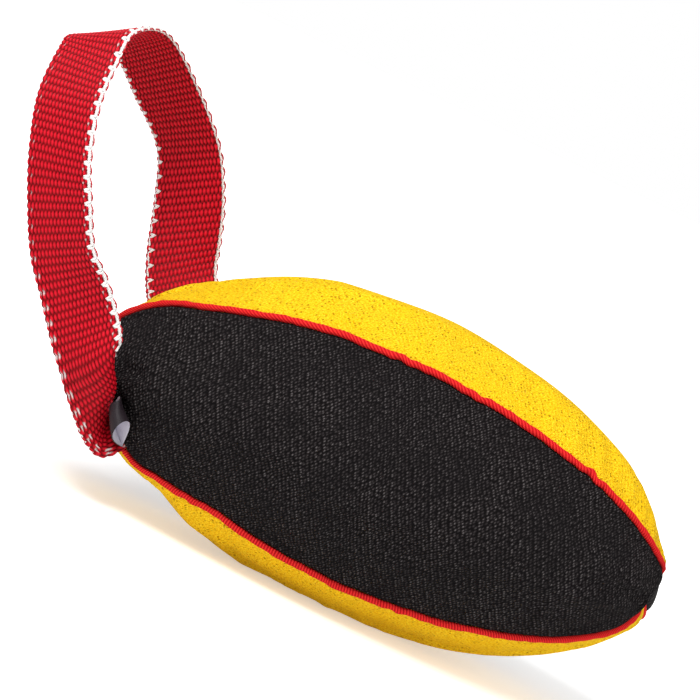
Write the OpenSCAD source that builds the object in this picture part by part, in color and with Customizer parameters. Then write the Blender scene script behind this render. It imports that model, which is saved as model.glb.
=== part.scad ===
// Stuffed training bumper: four sewn panels with piped seams round a fibre filling, a webbing handle
// loop sewn into two opposite seams at the tail, and a small folded tape loop beside its lower end.
// The long axis lies along X with the nose at +X, Z is up and the front dark panel faces -Y.
// The origin is the middle of the flat that the soft body makes where it lies.

/* [Body] */
// Length from tail tip to nose tip
body_length = 205; // [170:1:260]
// Largest diameter of the stuffed body
body_diameter = 102; // [88:1:125]
// Roundness of the ends: 2 is an ellipse, a lower value is more pointed
end_fullness = 1.91; // [1.7:0.01:2.3]
// Angle that each dark panel covers round the body, the bright panels take the rest
dark_span = 98; // [84:1:104]
// Thickness of the cover fabric
fabric_thickness = 1.8; // [1:0.1:3]
// How far the stuffed panels are drawn in along each seam
seam_pinch = 2; // [0:0.25:4]
// How far the tail end sags below the long axis
tail_sag = 5; // [0:0.5:10]
// Depth of the flat where the body lies
rest_depth = 1.2; // [0.6:0.1:3]
// Radius of the small eye where the panels close up at each tip
tip_radius = 3; // [2.6:0.1:5]

/* [Seams] */
// Width of the fabric and tape turned in behind each seam
seam_allowance = 8; // [5:0.5:14]
// Clearance between sewn pieces
seam_clear = 0.2; // [0.1:0.05:0.3]
// Outer diameter of the piping bead
piping_diameter = 3.2; // [2.6:0.1:5]
// Thickness of the tape that wraps the piping cord
piping_tape = 0.5; // [0.3:0.05:0.8]

/* [Handle] */
// Width of the handle webbing
strap_width = 25; // [20:0.5:30]
// Thickness of the handle webbing
strap_thickness = 2.2; // [1.6:0.1:3]
// Width of the pale yarn woven along each edge of the webbing
edge_width = 1.6; // [1:0.1:3]
// Place of the lower sewn end along its seam, as an angle from the tail tip
lower_root = 30; // [26:0.5:40]
// Place of the upper sewn end along its seam, as an angle from the tail tip
upper_root = 36; // [28:0.5:44]
// Radius about each sewn end inside which the webbing stays with the body
flex_radius = 17; // [16:0.5:22]

/* [Label] */
// Length of the tape loop along the seam
label_length = 10; // [8:0.5:13]
// Height of the tape loop from the seam to its fold
label_height = 10; // [8:0.5:13]
// Width of the tape loop across its open end
label_bulge = 4.5; // [3:0.25:5]
// Thickness of the label tape
label_tape = 0.5; // [0.3:0.05:0.8]
// Angle at which the tape loop stands off the dark panel
label_tilt = 28; // [20:1:40]
// Distance of the tape loop's open end from the nearer edge of the webbing
label_inset = 3.5; // [1:0.5:6]

/* [Hidden] */

half_l = body_length / 2;
half_d = body_diameter / 2;
axis_h = half_d - rest_depth;
bright_span = 180 - dark_span;

// Panel middles and seams as angles round the long axis, 0 at the back and 90 on top
front_mid = 180;
top_mid = 90;
back_mid = 0;
bottom_mid = 270;
front_top = front_mid - dark_span / 2;
front_bottom = front_mid + dark_span / 2;
back_bottom = 360 - dark_span / 2;
back_top = dark_span / 2;

// The tail sags over this run, counted from the tail tip
sag_from_tip = 65;
sag_run = 38;

// Gap between the swinging webbing and its sewn ends
flex_clear = 0.35;
// Room along the seam between each side of a sewn end and the piping that goes on beside it
tip_side_room = 4.5;
nose_side_room = 1;
// Half the angle along a seam over which a sewn end takes its direction
root_reach = 10;
// Share of the seam allowance that the sewn ends fill
tuck_share = 0.7;

// Facets: stations along the body, columns across a panel, sides of a bead and of its cord
station_count = 24;
panel_columns = 6;
bead_sides = 9;
cord_sides = 7;
strap_steps = 3;
drop_sides = 20;
// Brings the widest part of the folded tape's outline to its full bulge
drop_widen = 1.2;

// A thin slice trimmed under the bottom panel, so that the rest is one true flat
rest_trim = 0.05;
cut_size = 4 * (body_length + body_diameter);

// Panels narrow to this sine of an angle at the tips and no further
edge_limit = 0.6;
// The turned-in edges keep this much below the fabric at the tips, and grow from there by this share
tip_turn = 0.6;
turn_growth = 3;

// Half the gap between two panels at a seam, and the same to the inside of their turned-in edges
half_gap = strap_thickness / 2 + seam_clear;
inner_gap = half_gap + fabric_thickness;
bead_r = piping_diameter / 2;
bead_hole_r = bead_r - piping_tape;
cord_r = bead_hole_r - seam_clear / 2;
bead_lift = sqrt(max(0, pow(bead_r + seam_clear, 2) - pow(half_gap, 2)));
flange_t = 2 * piping_tape;
tip_t = asin(tip_radius / half_d);
bead_tip_t = asin((2 * bead_r + seam_clear) / half_d);
stations = [for (i = [0:station_count]) tip_t + (180 - 2 * tip_t) * i / station_count];

// Middle line of the webbing from each sewn end up to the top of the loop, from that end's own seam point
front_strand = [
    [-3, -4, -2], [-6, -9, 3], [-9, -15, 11], [-12, -20, 18], [-18, -21, 26], [-27, -22, 37],
    [-35, -23, 46], [-42, -24, 59], [-49, -23, 74], [-54, -18, 90], [-55, -9, 104], [-54, 1, 112]
];
back_strand = [[-5, 6, 7], [-9, 10, 17], [-14, 13, 31], [-22, 13, 47], [-36, 5, 61], [-50, -10, 73]];
// Direction across the webbing at each of those points, from its far edge to its near edge
front_lean = [
    [-6, 4, 7], [-3, 2, 9], [1, -1, 10], [5, -3, 8], [8, -3, 8], [8, -4, 7],
    [8, -5, 5], [8, -5, 4], [8, -5, 2], [8, -5, 2], [7, -5, 1], [7, -5, 4]
];
back_lean = [[7, 3, 5], [8, 1, 5], [8, -2, 5], [8, -5, 5], [8, -5, 6], [6, -5, 5]];

function unit(v) = v / norm(v);
function ease(s) = let (k = max(0, min(1, s))) k * k * (3 - 2 * k);
function bow(v) = sign(v) * pow(abs(v), 2 / end_fullness);
function sag(x) = -tail_sag * ease((sag_from_tip - half_l - x) / sag_run);

// A point of the body: t runs from the tail tip to the nose tip in degrees, phi goes round the axis,
// off is the share of the way from a panel's middle to its seam, and depth goes in from the outer skin
function skin(t, phi, off, depth) =
    let (
        in = depth + seam_pinch * pow(off, 4),
        r = (half_d - in) * sin(t),
        x = -(half_l - in) * bow(cos(t)),
        z = axis_h + sag(x) + r * sin(phi)
    )
    [x, r * cos(phi), max(z, depth - rest_trim)];

// Depth that the turned-in edges reach, shallower toward the tips where the panels crowd together
function turn_in(t) = max(fabric_thickness + tip_turn, seam_allowance * min(1, turn_growth * sin(t)));

// Angle taken off each side of a panel to keep it at a distance from the seam's plane
function edge(t, gap, depth) = asin(min(edge_limit, gap / ((half_d - depth - seam_pinch) * sin(t))));

function panel_point(t, middle, span, share, depth, gap) =
    let (half = span / 2, turn = share * (half - edge(t, gap, depth)))
    skin(t, middle + turn, share, depth);

// Angle along a seam that a length on the fabric takes up
function seam_turn(t, length) = 180 / PI * length / norm([half_l * sin(t), half_d * cos(t)]);

function around(phi) = [0, -sin(phi), cos(phi)];

function triangles(a, b, c, d) = [[a, b, c], [a, c, d]];

// The solid between two matching grids of points, whose columns may close into a ring
module layer(outer, inner, ring = false) {
    rows = len(outer);
    cols = len(outer[0]);
    count = rows * cols;
    last = ring ? cols - 1 : cols - 2;
    function id(i, j, side) = side * count + i * cols + j % cols;
    walls = [
        for (i = [0:rows - 2], j = [0:last]) each concat(
            triangles(id(i, j, 0), id(i, j + 1, 0), id(i + 1, j + 1, 0), id(i + 1, j, 0)),
            triangles(id(i, j, 1), id(i + 1, j, 1), id(i + 1, j + 1, 1), id(i, j + 1, 1))
        )
    ];
    ends = [
        for (j = [0:last]) each concat(
            triangles(id(0, j, 0), id(0, j, 1), id(0, j + 1, 1), id(0, j + 1, 0)),
            triangles(id(rows - 1, j, 0), id(rows - 1, j + 1, 0), id(rows - 1, j + 1, 1), id(rows - 1, j, 1))
        )
    ];
    sides = [
        for (i = [0:rows - 2]) if (!ring) each concat(
            triangles(id(i, 0, 0), id(i + 1, 0, 0), id(i + 1, 0, 1), id(i, 0, 1)),
            triangles(id(i, cols - 1, 0), id(i, cols - 1, 1), id(i + 1, cols - 1, 1), id(i + 1, cols - 1, 0))
        )
    ];
    polyhedron(concat([for (r = outer) each r], [for (r = inner) each r]), concat(walls, ends, sides));
}

// The solid swept through a row of closed rings, with a middle point at each end. Its walls fold along
// one diagonal or the other, so that two twisted rods that lie side by side meet face to face
module rod(rings, flipped = false) {
    rows = len(rings);
    cols = len(rings[0]);
    first = rows * cols;
    function id(i, j) = i * cols + j % cols;
    function middle(ring) = [for (k = [0:2]) let (v = [for (p = ring) p[k]]) v * [for (p = v) 1] / len(v)];
    walls = [
        for (i = [0:rows - 2], j = [0:cols - 1])
            let (a = id(i, j), b = id(i, j + 1), c = id(i + 1, j + 1), d = id(i + 1, j))
                each flipped ? triangles(b, c, d, a) : triangles(a, b, c, d)
    ];
    ends = [
        for (j = [0:cols - 1])
            each [[first, id(0, j + 1), id(0, j)], [first + 1, id(rows - 1, j), id(rows - 1, j + 1)]]
    ];
    points = concat([for (r = rings) each r], [middle(rings[0]), middle(rings[rows - 1])]);
    polyhedron(points, concat(walls, ends));
}

// Points across a panel at one station, with both edges turned in to the given depth
function panel_row(t, middle, span, depth, turned, gap) = concat(
    [panel_point(t, middle, span, 1, turned, gap)],
    [for (j = [0:panel_columns]) panel_point(t, middle, span, 1 - 2 * j / panel_columns, depth, gap)],
    [panel_point(t, middle, span, -1, turned, gap)]
);

// One gore of the cover, its edges turned in along the seams
module panel(middle, span) {
    layer(
        [for (t = stations) panel_row(t, middle, span, 0, turn_in(t), half_gap)],
        [for (t = stations) panel_row(t, middle, span, fabric_thickness, turn_in(t), inner_gap)]
    );
}

// The stations between two angles, with both ends
function run_stations(from, to) = concat([from], [for (t = stations) if (t > from + 1 && t < to - 1) t], [to]);

// Places round a bead: the bead itself and then the two corners of its flange
function bead_places(t, phi, radius, neck_share) =
    let (
        top = skin(t, phi, 1, -bead_lift),
        foot = skin(t, phi, 1, turn_in(t)),
        up = unit(top - foot),
        side = around(phi),
        neck = asin(flange_t / 2 / bead_r),
        bead = [
            for (k = [0:bead_sides - 1])
                let (a = -90 + neck + (360 - 2 * neck) * k / (bead_sides - 1))
                    top + radius * (cos(a) * side + sin(a) * up)
        ],
        corners = neck_share > 0
            ? [for (s = [-1, 1]) top + radius * (s * sin(neck * neck_share) * side - cos(neck * neck_share) * up)]
            : [for (s = [-1, 1]) foot + s * flange_t / 2 * side]
    )
    concat(bead, corners);

// Wrapped tape of the piping with its sewing flange, along one stretch of a seam
module piping_run(phi, from, to) {
    ts = run_stations(from, to);
    layer(
        [for (t = ts) bead_places(t, phi, bead_r, 0)],
        [for (t = ts) bead_places(t, phi, bead_hole_r, 1 / 3)],
        ring = true
    );
}

// Cord that fills the piping along one stretch of a seam
module cord_run(phi, from, to) {
    rod([
        for (t = run_stations(from, to))
            let (
                top = skin(t, phi, 1, -bead_lift),
                up = unit(top - skin(t, phi, 1, turn_in(t))),
                side = around(phi)
            )
            [for (k = [0:cord_sides - 1]) let (a = 360 * k / cord_sides) top + cord_r * (cos(a) * side + sin(a) * up)]
    ]);
}

// Where a strap end interrupts its seam, from the tip side to the nose side
function root_span(root) = [
    root - seam_turn(root, strap_width / 2 + tip_side_room),
    root + seam_turn(root, strap_width / 2 + nose_side_room)
];

lower_span = root_span(lower_root);
upper_span = root_span(upper_root);
nose_t = 180 - bead_tip_t;
whole_run = [[bead_tip_t, nose_t]];
lower_runs = [[bead_tip_t, lower_span[0]], [lower_span[1], nose_t]];
upper_runs = [[bead_tip_t, upper_span[0]], [upper_span[1], nose_t]];

// Seam points of the two strap ends, the way out of the seam there and the way along it
function root_point(root, phi, depth) = skin(root, phi, 1, depth);
function root_along(root, phi) = unit(skin(root + root_reach, phi, 1, 0) - skin(root - root_reach, phi, 1, 0));
function root_out(root, phi) = unit(cross(around(phi), root_along(root, phi)));

lower_point = root_point(lower_root, front_bottom, 0);
upper_point = root_point(upper_root, back_top, 0);
lower_out = root_out(lower_root, front_bottom);
upper_out = root_out(upper_root, back_top);
lower_along = root_along(lower_root, front_bottom);
upper_along = root_along(upper_root, back_top);

tuck = tuck_share * seam_allowance;
strap_knots = concat(
    [lower_point - tuck * lower_out, lower_point - tuck / 2 * lower_out, lower_point],
    [for (p = front_strand) lower_point + p],
    [for (i = [len(back_strand) - 1:-1:0]) upper_point + back_strand[i]],
    [upper_point, upper_point - tuck / 2 * upper_out, upper_point - tuck * upper_out]
);
strap_leans = concat(
    [for (i = [0:2]) -lower_along],
    [for (v = front_lean) unit(v)],
    [for (i = [len(back_lean) - 1:-1:0]) unit(back_lean[i])],
    [for (i = [0:2]) upper_along]
);

// A smooth curve through a row of points, and the same points taken as a running list
function between(p, i, s) =
    let (
        n = len(p) - 1,
        a = p[max(i - 1, 0)],
        b = p[i],
        c = p[min(i + 1, n)],
        d = p[min(i + 2, n)]
    )
    b + s / 2 * (c - a + s * (2 * a - 5 * b + 4 * c - d + s * (3 * (b - c) + d - a)));
function along(p) = [
    for (i = [0:len(p) - 2], k = [0:strap_steps - (i == len(p) - 2 ? 0 : 1)]) between(p, i, k / strap_steps)
];

strap_line = along(strap_knots);
strap_across = along(strap_leans);
strap_last = len(strap_line) - 1;
strap_top = round(strap_last / 2);
core_half = strap_width / 2 - edge_width;

// Rings of a strip of the webbing that lies between two distances from its middle
function strap_rings(from, to, first = 0, last = len(strap_line) - 1) = [
    for (i = [first:last])
        let (
            ahead = unit(strap_line[min(i + 1, len(strap_line) - 1)] - strap_line[max(i - 1, 0)]),
            across = unit(strap_across[i]),
            rise = strap_thickness / 2 * unit(cross(ahead, across))
        )
        [
            strap_line[i] + from * across + rise, strap_line[i] + to * across + rise,
            strap_line[i] + to * across - rise, strap_line[i] + from * across - rise
        ]
];

// Round zone about the middle of a sewn end, which lies on the line that the handle swings about
module flex_zone(middle, radius) {
    translate(middle) sphere(r = radius, $fn = 64);
}

// A strip of webbing between two distances from its middle, as far as it swings with the handle
module swinging(from, to, flipped = false) {
    difference() {
        rod(strap_rings(from, to), flipped);
        flex_zone(lower_point, flex_radius + flex_clear);
        flex_zone(upper_point, flex_radius + flex_clear);
    }
}

// A sewn end of the webbing, as far as it stays with the body
module sewn_end(middle, first, last) {
    color("#b81019") intersection() {
        rod(strap_rings(-strap_width / 2, strap_width / 2, first, last));
        flex_zone(middle, flex_radius);
    }
}

module below_floor() {
    translate([0, 0, -cut_size / 2]) cube(cut_size, center = true);
}

module front_panel() {
    color("#1c1b1d") panel(front_mid, dark_span);
}

module top_panel() {
    color("#f6c500") panel(top_mid, bright_span);
}

module back_panel() {
    color("#1c1b1d") panel(back_mid, dark_span);
}

module bottom_panel() {
    color("#f6c500") difference() {
        panel(bottom_mid, bright_span);
        below_floor();
    }
}

// The fibre filling, grooved where the seams stand in
module stuffing() {
    depth = fabric_thickness + seam_clear;
    gap = inner_gap + seam_clear;
    panels = [[back_mid, dark_span], [bottom_mid, bright_span], [front_mid, dark_span], [top_mid, bright_span]];
    color("#f2f0ea") rod([
        for (i = [1:station_count - 1])
            let (t = stations[i])
                [for (p = panels) each panel_row(t, p[0], p[1], depth, turn_in(t) + seam_clear, gap)]
    ]);
}

module piping(phi, runs) {
    color("#c9141d") for (r = runs) piping_run(phi, r[0], r[1]);
}

module piping_cord(phi, runs) {
    color("#e9e4d8") for (r = runs) cord_run(phi, r[0], r[1]);
}

module handle_strap() {
    color("#d3121c") swinging(-core_half, core_half, flipped = true);
}

module handle_edge(from, to) {
    color("#f4efe9") swinging(from, to);
}

// Outline of a folded tape from the seam at its point to the fold
function drop_outline(height, bulge) = [
    for (k = [0:drop_sides - 1])
        let (a = 360 * k / drop_sides)
            [height * (1 - cos(a)) / 2, bulge / 2 * sin(a) * drop_widen * pow(sin(a / 2), 1.5)]
];

// Folded tape sewn beside the lower strap end, on the dark panel
module label_loop() {
    t = lower_root + seam_turn(lower_root, (strap_width - label_length) / 2 - label_inset);
    along = root_along(t, front_bottom);
    out = root_out(t, front_bottom);
    side = -around(front_bottom);
    lean = cos(label_tilt) * side + sin(label_tilt) * out;
    rise = cross(along, lean);
    base = skin(t, front_bottom, 1, 0) + (strap_thickness / 2 + seam_clear) * side + label_tape * out;
    frame = [
        for (k = [0:2]) [lean[k], rise[k], along[k], base[k]]
    ];
    color("#2a2229") multmatrix(frame)
        linear_extrude(label_length, center = true) difference() {
            polygon(drop_outline(label_height, label_bulge));
            translate([2 * label_tape, 0])
                polygon(drop_outline(label_height - 3 * label_tape, label_bulge - 2 * label_tape));
        }
}

front_panel();
top_panel();
back_panel();
bottom_panel();
piping(front_top, whole_run);  // front_top_piping
piping(front_bottom, lower_runs);  // front_bottom_piping
piping(back_bottom, whole_run);  // back_bottom_piping
piping(back_top, upper_runs);  // back_top_piping
piping_cord(front_top, whole_run);  // front_top_cord
piping_cord(front_bottom, lower_runs);  // front_bottom_cord
piping_cord(back_bottom, whole_run);  // back_bottom_cord
piping_cord(back_top, upper_runs);  // back_top_cord
stuffing();
sewn_end(lower_point, 0, strap_top);  // lower_strap_root
sewn_end(upper_point, strap_top, strap_last);  // upper_strap_root
handle_strap();
handle_edge(core_half, strap_width / 2);  // handle_near_edge
handle_edge(-strap_width / 2, -core_half);  // handle_far_edge
label_loop();
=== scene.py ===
# %% [markdown]
# # A stuffed training bumper
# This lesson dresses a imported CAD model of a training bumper: a pointed, stuffed body sewn from four
# gores, red piping in its seams, a webbing handle and a small tape label. The CAD solids give every place
# and size. Blender gives the cloth its swell, the webbing its weave and each surface its finish.

# %% Load the frame
import math

import bpy
import numpy as np
from mathutils import Matrix, Vector


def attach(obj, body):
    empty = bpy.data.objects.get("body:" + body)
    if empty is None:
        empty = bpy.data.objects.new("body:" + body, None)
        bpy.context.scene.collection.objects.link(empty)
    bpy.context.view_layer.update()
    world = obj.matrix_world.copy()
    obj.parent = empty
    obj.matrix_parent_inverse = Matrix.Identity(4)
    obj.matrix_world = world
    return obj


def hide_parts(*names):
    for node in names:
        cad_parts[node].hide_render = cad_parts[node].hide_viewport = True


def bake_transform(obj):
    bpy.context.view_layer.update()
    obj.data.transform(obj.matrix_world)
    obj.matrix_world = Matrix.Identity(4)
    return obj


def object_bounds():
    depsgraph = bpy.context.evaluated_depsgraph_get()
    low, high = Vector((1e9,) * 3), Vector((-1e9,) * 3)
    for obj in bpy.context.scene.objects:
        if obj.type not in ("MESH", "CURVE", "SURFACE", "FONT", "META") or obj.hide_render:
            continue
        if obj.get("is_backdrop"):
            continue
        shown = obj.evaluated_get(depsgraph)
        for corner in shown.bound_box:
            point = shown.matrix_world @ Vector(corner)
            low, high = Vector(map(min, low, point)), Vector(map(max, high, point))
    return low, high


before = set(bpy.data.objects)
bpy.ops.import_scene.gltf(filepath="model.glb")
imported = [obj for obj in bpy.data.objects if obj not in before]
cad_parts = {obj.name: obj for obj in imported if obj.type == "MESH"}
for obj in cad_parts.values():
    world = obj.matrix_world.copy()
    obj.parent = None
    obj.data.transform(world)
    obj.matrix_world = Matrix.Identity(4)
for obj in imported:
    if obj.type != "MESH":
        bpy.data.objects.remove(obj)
cad_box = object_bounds()

# %% [markdown]
# ## Helpers for every sewn piece
# Cloth starts flat. So each sewn piece here starts as a flat grid, which the operator adds with its UV
# map, and is then laid over the form by a rule that gives each point of the grid its place. That is how a
# pattern cutter works too: a flat piece of cloth, taken round a body.

# %% Lay a grid over a form
MM = 0.001


def deselect():
    bpy.ops.object.select_all(action="DESELECT")


def make_active(piece):
    deselect()
    piece.select_set(True)
    bpy.context.view_layer.objects.active = piece


def apply_modifiers(piece):
    make_active(piece)
    for modifier in list(piece.modifiers):
        bpy.ops.object.modifier_apply(modifier=modifier.name)


def points_of(piece):
    flat = np.empty(len(piece.data.vertices) * 3)
    piece.data.vertices.foreach_get("co", flat)
    return flat.reshape(-1, 3)


def move_points(piece, points):
    piece.data.vertices.foreach_set("co", points.ravel())
    piece.data.update()


def laid_grid(name, rows, columns, place, cloth_place):
    """A grid whose points go where place(u, v) says, with the UV map in metres of cloth."""
    deselect()
    bpy.ops.mesh.primitive_grid_add(x_subdivisions=rows, y_subdivisions=columns, size=2)
    piece = bpy.context.object
    piece.name = name
    mesh = piece.data
    mesh.name = name
    u, v = (points_of(piece)[:, :2].T + 1) / 2
    corner = np.empty(len(mesh.loops), int)
    mesh.loops.foreach_get("vertex_index", corner)
    cloth = np.stack(cloth_place(u, v), -1)[corner]
    mesh.uv_layers[0].data.foreach_set("uv", cloth.ravel())
    move_points(piece, place(u, v))
    return piece, u, v


def close_up(piece):
    """Merges the points that meet where a grid closes on itself, and turns its faces outwards."""
    make_active(piece)
    bpy.ops.object.mode_set(mode="EDIT")
    bpy.ops.mesh.select_all(action="SELECT")
    bpy.ops.mesh.remove_doubles(threshold=0.002 * MM)
    bpy.ops.mesh.normals_make_consistent(inside=False)
    bpy.ops.object.mode_set(mode="OBJECT")
    bpy.ops.object.shade_smooth()


def give_values(piece, name, values):
    """Stores one number per point, which a material reads by name."""
    store = piece.data.attributes.new(name, "FLOAT", "POINT")
    store.data.foreach_set("value", values.astype(np.float32))


# %% [markdown]
# ## Camera
# The camera looks at the front panel from a little above, and is rolled so that the body lies nose down as
# in the photograph. A long lens keeps the body's curves quiet. The picture is 700 pixels wide, and the
# body's middle has a known place in it.

# %% Camera
IMAGE_SIZE = 700
BODY_MIDDLE_PX = (379.2, 462.6)
PIXELS_PER_MM = 3.046
BODY_MIDDLE = Vector((0, 0, 49.8 * MM))
CAMERA_AWAY = 1.4
SENSOR_WIDTH = 36
CAMERA_AZIMUTH = math.radians(-1.0)
CAMERA_ELEVATION = math.radians(6.7)
CAMERA_ROLL = math.radians(25.8)

back = Vector((
    math.sin(CAMERA_AZIMUTH) * math.cos(CAMERA_ELEVATION),
    -math.cos(CAMERA_AZIMUTH) * math.cos(CAMERA_ELEVATION),
    math.sin(CAMERA_ELEVATION),
))
level_right = Vector((math.cos(CAMERA_AZIMUTH), math.sin(CAMERA_AZIMUTH), 0))
level_up = back.cross(level_right)
right = math.cos(CAMERA_ROLL) * level_right + math.sin(CAMERA_ROLL) * level_up
up = back.cross(right)
px_to_m = MM / PIXELS_PER_MM
aim = (
    BODY_MIDDLE
    - right * (BODY_MIDDLE_PX[0] - IMAGE_SIZE / 2) * px_to_m
    + up * (BODY_MIDDLE_PX[1] - IMAGE_SIZE / 2) * px_to_m
)
deselect()
bpy.ops.object.camera_add(location=aim + back * CAMERA_AWAY)
camera = bpy.context.object
camera.rotation_mode = "QUATERNION"
camera.rotation_quaternion = Matrix((right, up, back)).transposed().to_quaternion()
camera.data.sensor_width = SENSOR_WIDTH
camera.data.lens = SENSOR_WIDTH * CAMERA_AWAY / (IMAGE_SIZE * px_to_m)
bpy.context.scene.camera = camera
print("camera lens", round(camera.data.lens, 1), "mm")

# %% [markdown]
# ## Helpers for finishes
# A finish is a small network of shader nodes. These helpers add a node, feed its sockets and give back its
# output, so that a finish reads like a recipe from top to bottom.

# %% Node helpers
def new_node(tree, kind, **settings):
    node = tree.nodes.new("ShaderNode" + kind)
    for name, value in settings.items():
        setattr(node, name, value)
    return node


def feed(tree, socket, value):
    """Links a socket to another one, or sets it to a number, a vector or a colour."""
    if isinstance(value, bpy.types.NodeSocket):
        tree.links.new(value, socket)
    elif socket.type == "RGBA":
        socket.default_value = (*value, 1)
    else:
        socket.default_value = value


def set_inputs(tree, node, **values):
    for name, value in values.items():
        feed(tree, node.inputs[name.replace("_", " ")], value)


def math_node(tree, operation, *values):
    node = new_node(tree, "Math", operation=operation)
    for socket, value in zip(node.inputs, values):
        feed(tree, socket, value)
    return node.outputs[0]


def map_range(tree, value, low, high, to_low=0.0, to_high=1.0):
    node = new_node(tree, "MapRange")
    for socket, setting in zip(node.inputs, (value, low, high, to_low, to_high)):
        feed(tree, socket, setting)
    return node.outputs["Result"]


def stretched(tree, vector, factors):
    node = new_node(tree, "VectorMath", operation="MULTIPLY")
    feed(tree, node.inputs[0], vector)
    feed(tree, node.inputs[1], factors)
    return node.outputs[0]


def pattern(tree, kind, vector, settings=None, **inputs):
    """The outputs of a texture node over the given vector, with its inputs set."""
    node = new_node(tree, "Tex" + kind, **(settings or {}))
    set_inputs(tree, node, Vector=vector, **inputs)
    return node.outputs


def cloth_uv(tree):
    return new_node(tree, "UVMap").outputs["UV"]


def stored(tree, name):
    return new_node(tree, "Attribute", attribute_name=name).outputs["Fac"]


def colour_ramp(tree, value, stops):
    ramp = new_node(tree, "ValToRGB")
    elements = ramp.color_ramp.elements
    while len(elements) < len(stops):
        elements.new(0.5)
    for element, (place, colour) in zip(elements, stops):
        element.position = place
        element.color = (*colour, 1)
    feed(tree, ramp.inputs["Fac"], value)
    return ramp.outputs["Color"]


def mix_colours(tree, share, first, second):
    node = new_node(tree, "Mix", data_type="RGBA")
    for place, value in ((0, share), (6, first), (7, second)):
        feed(tree, node.inputs[place], value)
    return node.outputs[2]


def bump(tree, height, distance, strength=1.0):
    node = new_node(tree, "Bump")
    set_inputs(tree, node, Height=height, Distance=distance, Strength=strength)
    return node.outputs["Normal"]


def new_material(name):
    material = bpy.data.materials.new(name)
    material.use_nodes = True
    tree = material.node_tree
    return material, tree, tree.nodes["Principled BSDF"]


# %% [markdown]
# ## Light and floor
# The photograph is a white studio shot. One broad lamp above and to the left models the body, a weaker one
# from the right opens the shade, and an even white surround fills the rest. The floor is pale, takes a soft
# shadow and fades to white further off. It also throws a little light back on the underside. Seen by the
# camera or in a reflection, the surround is plain white. Each lamp has a place, a width and a power.

# %% Lamps, surround and floor
LAMPS = {"key_lamp": ((-0.45, -0.6, 1.0), 0.6, 15.0), "fill_lamp": ((0.8, -0.7, 0.5), 0.8, 4.0)}
WHITE = (1, 1, 1)
SURROUND_LIGHT = 0.42
FLOOR_SIZE = 6
FLOOR_GREY = (0.82, 0.82, 0.82)
FLOOR_BOUNCE = 0.2
GLOW_NEAR = 0.42
GLOW_FROM = 0.08
GLOW_TO = 0.45

for name, (place, size, power) in LAMPS.items():
    deselect()
    bpy.ops.object.light_add(type="AREA", location=place)
    lamp = bpy.context.object
    lamp.name = name
    lamp.data.size = size
    lamp.data.energy = power
    lamp.rotation_mode = "QUATERNION"
    lamp.rotation_quaternion = (BODY_MIDDLE - Vector(place)).to_track_quat("-Z", "Y")

scene = bpy.context.scene
scene.view_settings.view_transform = "Standard"
scene.world = bpy.data.worlds.new("white_surround")
scene.world.use_nodes = True
tree = scene.world.node_tree
rays = new_node(tree, "LightPath").outputs
seen = math_node(tree, "MAXIMUM", rays["Is Camera Ray"], rays["Is Glossy Ray"])
shown = math_node(tree, "MAXIMUM", seen, rays["Is Transmission Ray"])
sky_light = map_range(tree, shown, 0, 1, SURROUND_LIGHT, 1)
set_inputs(tree, tree.nodes["Background"], Color=WHITE, Strength=sky_light)

deselect()
bpy.ops.mesh.primitive_plane_add(size=FLOOR_SIZE)
floor = bpy.context.object
floor.name = "floor"
floor_paint, tree, shader = new_material("pale_floor")
floor.data.materials.append(floor_paint)
distance = new_node(tree, "VectorMath", operation="LENGTH")
feed(tree, distance.inputs[0], new_node(tree, "TexCoord").outputs["Object"])
glow = map_range(tree, distance.outputs["Value"], GLOW_FROM, GLOW_TO, GLOW_NEAR, 1)
lift = new_node(tree, "Mix")
camera_ray = new_node(tree, "LightPath").outputs["Is Camera Ray"]
set_inputs(tree, lift, Factor=camera_ray, A=FLOOR_BOUNCE, B=glow)
set_inputs(
    tree, shader, Base_Color=FLOOR_GREY, Roughness=0.9,
    Emission_Color=WHITE, Emission_Strength=lift.outputs["Result"],
)
floor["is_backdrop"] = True
print("two lamps, a white surround and a pale floor")

# %% [markdown]
# ## The form under the cloth
# The stuffed body is a pointed oval. A point on it is given by the angle from the tail tip, the angle
# round the long axis, and how far it lies from a panel's middle towards the seam, where the stitching
# draws the cloth in. The sizes and the rule are those that the CAD solids were made from. The cloth adds
# what the photograph shows at the ends: a twisted nose that closes in two points, and a tuck under the
# tail. The form could be sculpted, but with a rule the panels, the piping and the filling all follow one
# form.

# %% Body form
HALF_LENGTH = 102.5 * MM
HALF_DIAMETER = 51 * MM
END_FULLNESS = 1.91
DARK_SPAN = math.radians(98)
BRIGHT_SPAN = math.pi - DARK_SPAN
SEAM_PINCH = 2 * MM
REST_DEPTH = 1.2 * MM
REST_SOFTNESS = 0.6 * MM
TAIL_SAG = 5 * MM
SAG_FROM_TIP = 65 * MM
SAG_RUN = 38 * MM
AXIS_HEIGHT = HALF_DIAMETER - REST_DEPTH
TIP_ANGLE = math.asin(0.25 * MM / HALF_DIAMETER)
NOSE_TOP = (1 * MM, 5 * MM)
NOSE_BOTTOM = (-11 * MM, -1 * MM)
NOSE_TWIST = math.radians(20)
NOSE_REACH = 11 * MM
TAIL_TUCK = 4.2 * MM
TAIL_TUCK_FROM = -46 * MM
TAIL_TUCK_RUN = 17 * MM
TAIL_TUCK_END = -68 * MM
TAIL_TUCK_BELOW = 0.76
TAIL_TUCK_FADE = 0.6
PINCH_POWER = 4
TIP_DIMPLE = 1.6 * MM
TIP_DIMPLE_REACH = 6 * MM
FRONT, TOP, BACK, BOTTOM = math.pi, math.pi / 2, 0.0, 1.5 * math.pi
FRONT_TOP = FRONT - DARK_SPAN / 2
FRONT_BOTTOM = FRONT + DARK_SPAN / 2
BACK_BOTTOM = -DARK_SPAN / 2
BACK_TOP = DARK_SPAN / 2


def ease(share):
    k = np.clip(share, 0, 1)
    return k * k * (3 - 2 * k)


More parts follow.
